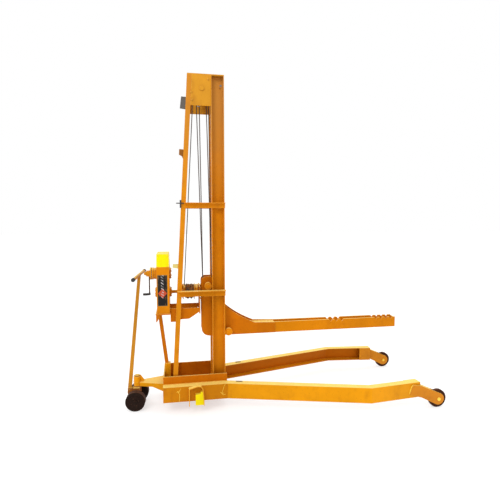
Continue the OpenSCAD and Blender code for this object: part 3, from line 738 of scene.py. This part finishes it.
def make_fittings():
    # bolts through the side plates of the mast head
    head_bolts = [at(-308, -163.5, 3055), at(-300, -163.5, 2985), at(-150, -163.5, 3180)]
    bolts("head_bolts_near", head_bolts, (0, -1, 0), "frame", "head", 17, 9)
    mirrored = [Vector((p.x, -p.y, p.z)) for p in head_bolts]
    bolts("head_bolts_far", mirrored, (0, 1, 0), "frame", "head", 17, 9)
    # bearing flanges of the winch casing
    for name, x, z, radius, way in (
        ("front_low", -522, DRUM_Z, 36, 1), ("rear_low", -676, DRUM_Z, 36, -1),
        ("front_high", -524, CRANK_Z, 42, 1), ("rear_high", -674, CRANK_Z, 45, -1),
    ):
        places = circle_places(at(x, 0, z), (1, 0, 0), radius, 6, 0.3)
        bolts("flange_bolts_" + name, places, (way, 0, 0), "frame", "mast", 10, 3)
    cap = [at(x, -150, 1423) for x in (-645, -551)] + [at(x, -149, 1523) for x in (-640, -556)]
    bolts("cap_screws", cap, (0, -1, 0), "frame", "lemon", 8, 4)
    places = [at(-242, y, z) for y in (-92, 92) for z in (1090, 1190)]
    bolts("bearing_plate_bolts", places, (1, 0, 0), "frame", "deep_and_shaded", 15, 9)
    places = circle_places(at(-242, 0, DRUM_Z), (1, 0, 0), 34, 4, 0.8)
    bolts("drum_bearing_bolts", places, (1, 0, 0), "frame", "deep_and_shaded", 10, 6)
    lathe("drum_bearing_ring", at(-242, 0, DRUM_Z), (1, 0, 0),
          [(-0.5, 16.5), (-0.5, 47), (6, 47), (8, 45), (8, 26), (14, 22), (14, 16.5)],
          "frame", "deep_and_shaded")
    # drum end studs
    places = circle_places(at(-407, 0, DRUM_Z), (1, 0, 0), 70, 6)
    bolts("drum_studs", places, (-1, 0, 0), "drum", "mast", 11, 6)
    # turned faces of the big upper rollers, seen outside the carriage cheeks
    low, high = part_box("upper_rollers")
    middle = (low + high) / 2
    for name, y, way in (("near", low.y, -1), ("far", high.y, 1)):
        spot = Vector((middle.x, y, middle.z))
        lathe("roller_rim_" + name, spot, (0, way, 0),
              [(-1, 29.5), (-1, 36.5), (1.6, 36.5), (2.4, 35.5), (2.4, 30.5), (1.6, 29.5)],
              "upper_rollers", "upright")
        lathe("roller_web_" + name, spot, (0, way, 0),
              [(-1, 23), (-1, 29), (0.5, 29), (0.5, 23)], "upper_rollers", "shade")
    # dark scuffed patches on the leg tops
    for name, middle, way in (("near", at(128, -236, 270.2), -0.38), ("far", at(193, 289, 270.2), 0.1)):
        corners = []
        for x, y in ((-32, -9), (30, -11), (33, 8), (-29, 10)):
            for z in (0, 0.0012):
                corners.append(middle + Vector((x / 1000, (y + way * x * 0.6) / 1000, z)))
        faces = [(0, 1, 3, 2), (2, 3, 5, 4), (4, 5, 7, 6), (6, 7, 1, 0), (1, 7, 5, 3), (0, 2, 4, 6)]
        add_piece("scuff_" + name, corners, faces, "frame", "scuff", smooth=False)
    # bolts in the column webs under the head
    bolts("web_bolt_near", [at(-32, -163.5, 3125)], (0, -1, 0), "frame", "iron", 15, 7)
    bolts("web_bolt_far", [at(-32, 163.5, 3125)], (0, 1, 0), "frame", "iron", 15, 7)
    # crank hub nut and pawl wheel teeth
    bolts("crank_nut", [at(-766, 0, CRANK_Z)], (-1, 0, 0), "crank", "gold", 30, 17)
    lathe("crank_elbow", at(-735, 0, CRANK_Z - CRANK_THROW), (0, 0, 1),
          [(-9, 2), (-9, 7), (-6, 9.5), (8, 9.5), (20, 7), (22, 5.8)], "crank", "black")
    ribs = [(0, 6.3), (0, 10)]
    for i in range(9):
        start = 1.5 + i * 5.6
        ribs += [(start, 12), (start + 3.6, 12), (start + 4.4, 10.6), (start + 5.0, 10.6)]
    ribs += [(52.2, 10), (52.2, 6.3)]
    end = at(-795.3, 0, CRANK_Z - CRANK_THROW)
    grip = lathe("crank_grip_ribbed", end, (1, 0, 0), ribs, "crank_grip", "grip")
    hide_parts("crank_grip")
    ratchet = []
    teeth = 18
    ring = []
    for i in range(teeth):
        a, b = 2 * math.pi * i / teeth, 2 * math.pi * (i + 0.82) / teeth
        ring += [(a, 52.5), (b, 59.5), (b + 0.01, 52.5)]
    for x in (-712.6, -707.4):
        for angle, radius in ring:
            ratchet.append(at(x, radius * math.cos(angle), CRANK_Z + radius * math.sin(angle)))
    add_piece("ratchet_teeth", ratchet, ring_faces(2, len(ring)), "crank", "iron", smooth=False)
    # wheel hubs
    hub = [(-3, 13), (-3, 25), (1.2, 27), (1.2, 32), (2.4, 33.5), (2.4, 38), (-1, 40)]
    for side, way in (("near", -1), ("far", 1)):
        node = "front_wheel_" + side
        low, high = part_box(node)
        middle = (low + high) / 2
        for face, turn in (("outer", way), ("inner", -way)):
            spot = Vector((middle.x, high.y if turn > 0 else low.y, middle.z))
            ring_profile = [(a - 3.6, r * 0.62 + 3) for a, r in hub]
            lathe(f"hub_ring_{node}_{face}", spot, (0, turn, 0), ring_profile, node, "iron")
    for side in ("near", "far"):
        node = "rear_wheel_" + side
        joint = next(j for j in frame["joints"] if j["child"] == node)
        axis = Vector(joint["axis"]).normalized() * (-1 if side == "near" else 1)
        spot = Vector(joint["pos_m"]) + axis * 0.0371
        lathe("hub_ring_" + node, spot, axis,
              [(-3, 19), (-3, 30), (0.6, 31), (0.6, 44), (-1.5, 46), (-1.5, 52), (0.2, 54), (0.2, 58),
               (-3, 60)], node, "tyre")
        places = circle_places(spot + axis * 0.0004, axis, 37, 4, 0.4)
        bolts("hub_bolts_" + node, places, axis, node, "tyre", 9, 4)


# ---------------------------------------------------------------- welds


def mirror_y(points):
    return [Vector((p.x, -p.y, p.z)) for p in points]


def make_welds():
    fork = [at(1769, -573.5, 160), at(1772, -574, 178), at(1783, -575, 222), at(1797, -576, 250)]
    inner = [at(1755, -492, 124), at(1755, -492, 264)]
    sill = [at(-606, -194, 270), at(8, -194, 270)]
    root = [at(12.5, -268, 121), at(12.5, -268, 268)]
    foot = [at(-125, -163.5, 131.5), at(0, -163.5, 131.5)]
    rail = [at(-606, -194.0, 344.3), at(-560, -192.0, 344.3)]
    brace = [at(-125, -164.5, 1122), at(-125, -164.5, 1181)]
    upper = [at(-125, -164.5, 1981), at(-125, -164.5, 2029)]
    lower_rear = [at(-452, -164.8, 1122.5), at(-398, -164.8, 1122.5)]
    head = [at(-124.5, -163.8, 2940), at(-124.5, -163.8, 3214)]
    head_low = [at(-310, -163.8, 2938), at(-128, -163.8, 2938)]
    for name, route in (
        ("fork_inner", inner), ("sill", sill), ("leg_root", root), ("foot", foot),
        ("rail_end", rail), ("lower_brace", brace), ("upper_brace", upper),
        ("lower_brace_rear", lower_rear), ("head_front", head), ("head_low", head_low),
    ):
        width = 5.0 if name in ("fork", "leg_root") else 3.2
        weld("weld_" + name + "_near", route, "frame", width=width)
        weld("weld_" + name + "_far", mirror_y(route), "frame", width=width)
    weld("weld_fork_near", fork, "frame", "bead", 6.0)
    weld("weld_fork_far", mirror_y(fork), "frame", "bead", 6.0)
    weld("weld_post", [at(-598, -30.5, 132), at(-541.5, -30.5, 132), at(-541.5, 30.5, 132)], "frame")
    weld("weld_post_top", [at(-597, -18.5, 421), at(-561, -18.5, 421)], "frame", width=3.5)
    weld("weld_strut_top", [at(-660, -18.5, 949), at(-624, -18.5, 949)], "frame", width=3.5)
    weld("weld_drawbar", [at(-611, -108, 169), at(-611, -108, 243), at(-611, 108, 243)], "frame")
    weld("weld_kingpin", [at(-874 + 34.5 * math.cos(a), 34.5 * math.sin(a), 246)
                          for a in [math.radians(12 * i) for i in range(31)]], "frame", width=3.5)
    weld("weld_arm_near", [at(531.5, -58, 699), at(531.5, -58, 803)], "carriage", width=3.2)
    weld("weld_arm_far", [at(531.5, 58, 699), at(531.5, 58, 803)], "carriage", width=3.2)
    weld("weld_arm_under_near", [at(-95, -58, 697), at(528, -58, 697)], "carriage", width=2.5)
    smears = (
        [(-483, 214), (-470, 228), (-462, 214), (-452, 236), (-443, 250)],
        [(-468, 216), (-456, 196), (-455, 171), (-458, 140), (-460, 118)],
        [(-14, 262), (-27, 246), (-36, 212), (-49, 170), (-30, 158), (-12, 164)],
        [(-62, 190), (-48, 172), (-28, 178)],
        [(-372, 248), (-362, 258), (-350, 262)],
    )
    for i, smear in enumerate(smears):
        weld(f"smear_{i}", [at(x, -268.3, z) for x, z in smear], "frame", "bead", 2.2)
    rest = math.radians(-4)
    spot = at(-874, 0, 0)

    def steered(x, y, z):
        return spot + Vector((x * math.cos(rest) - y * math.sin(rest),
                              x * math.sin(rest) + y * math.cos(rest), z)) / 1000

    collar = [steered(42 + 15.5 * math.cos(a), 8 * (1 if i < 16 else -1), 1324 + 15.5 * math.sin(a))
              for i, a in ((i, math.radians(-160 + 140 * (i % 16) / 15)) for i in range(16))]
    weld("weld_tiller_top", collar, "tiller", "worn", 3.0)


def make_floor():
    mesh = bpy.data.meshes.new("floor")
    reach = 40
    corners = [(-reach, -reach, 0), (reach, -reach, 0), (reach, reach, 0), (-reach, reach, 0)]
    mesh.from_pydata(corners, [], [(0, 1, 2, 3)])
    floor = bpy.data.objects.new("floor", mesh)
    bpy.context.scene.collection.objects.link(floor)
    f = Finish("floor_white", Roughness=0.9, Specular_IOR_Level=0.0, Emission_Strength=0.58)
    f.shader.inputs["Emission Color"].default_value = (1, 1, 1, 1)
    tint = f.colour(f.noise(1.5, 3), (0.50, 0.50, 0.50), (0.54, 0.54, 0.54))
    floor.data.materials.append(f.set(Base_Color=tint).material)


make_camera()
make_light()
make_floor()
make_ropes()
make_fittings()
make_welds()
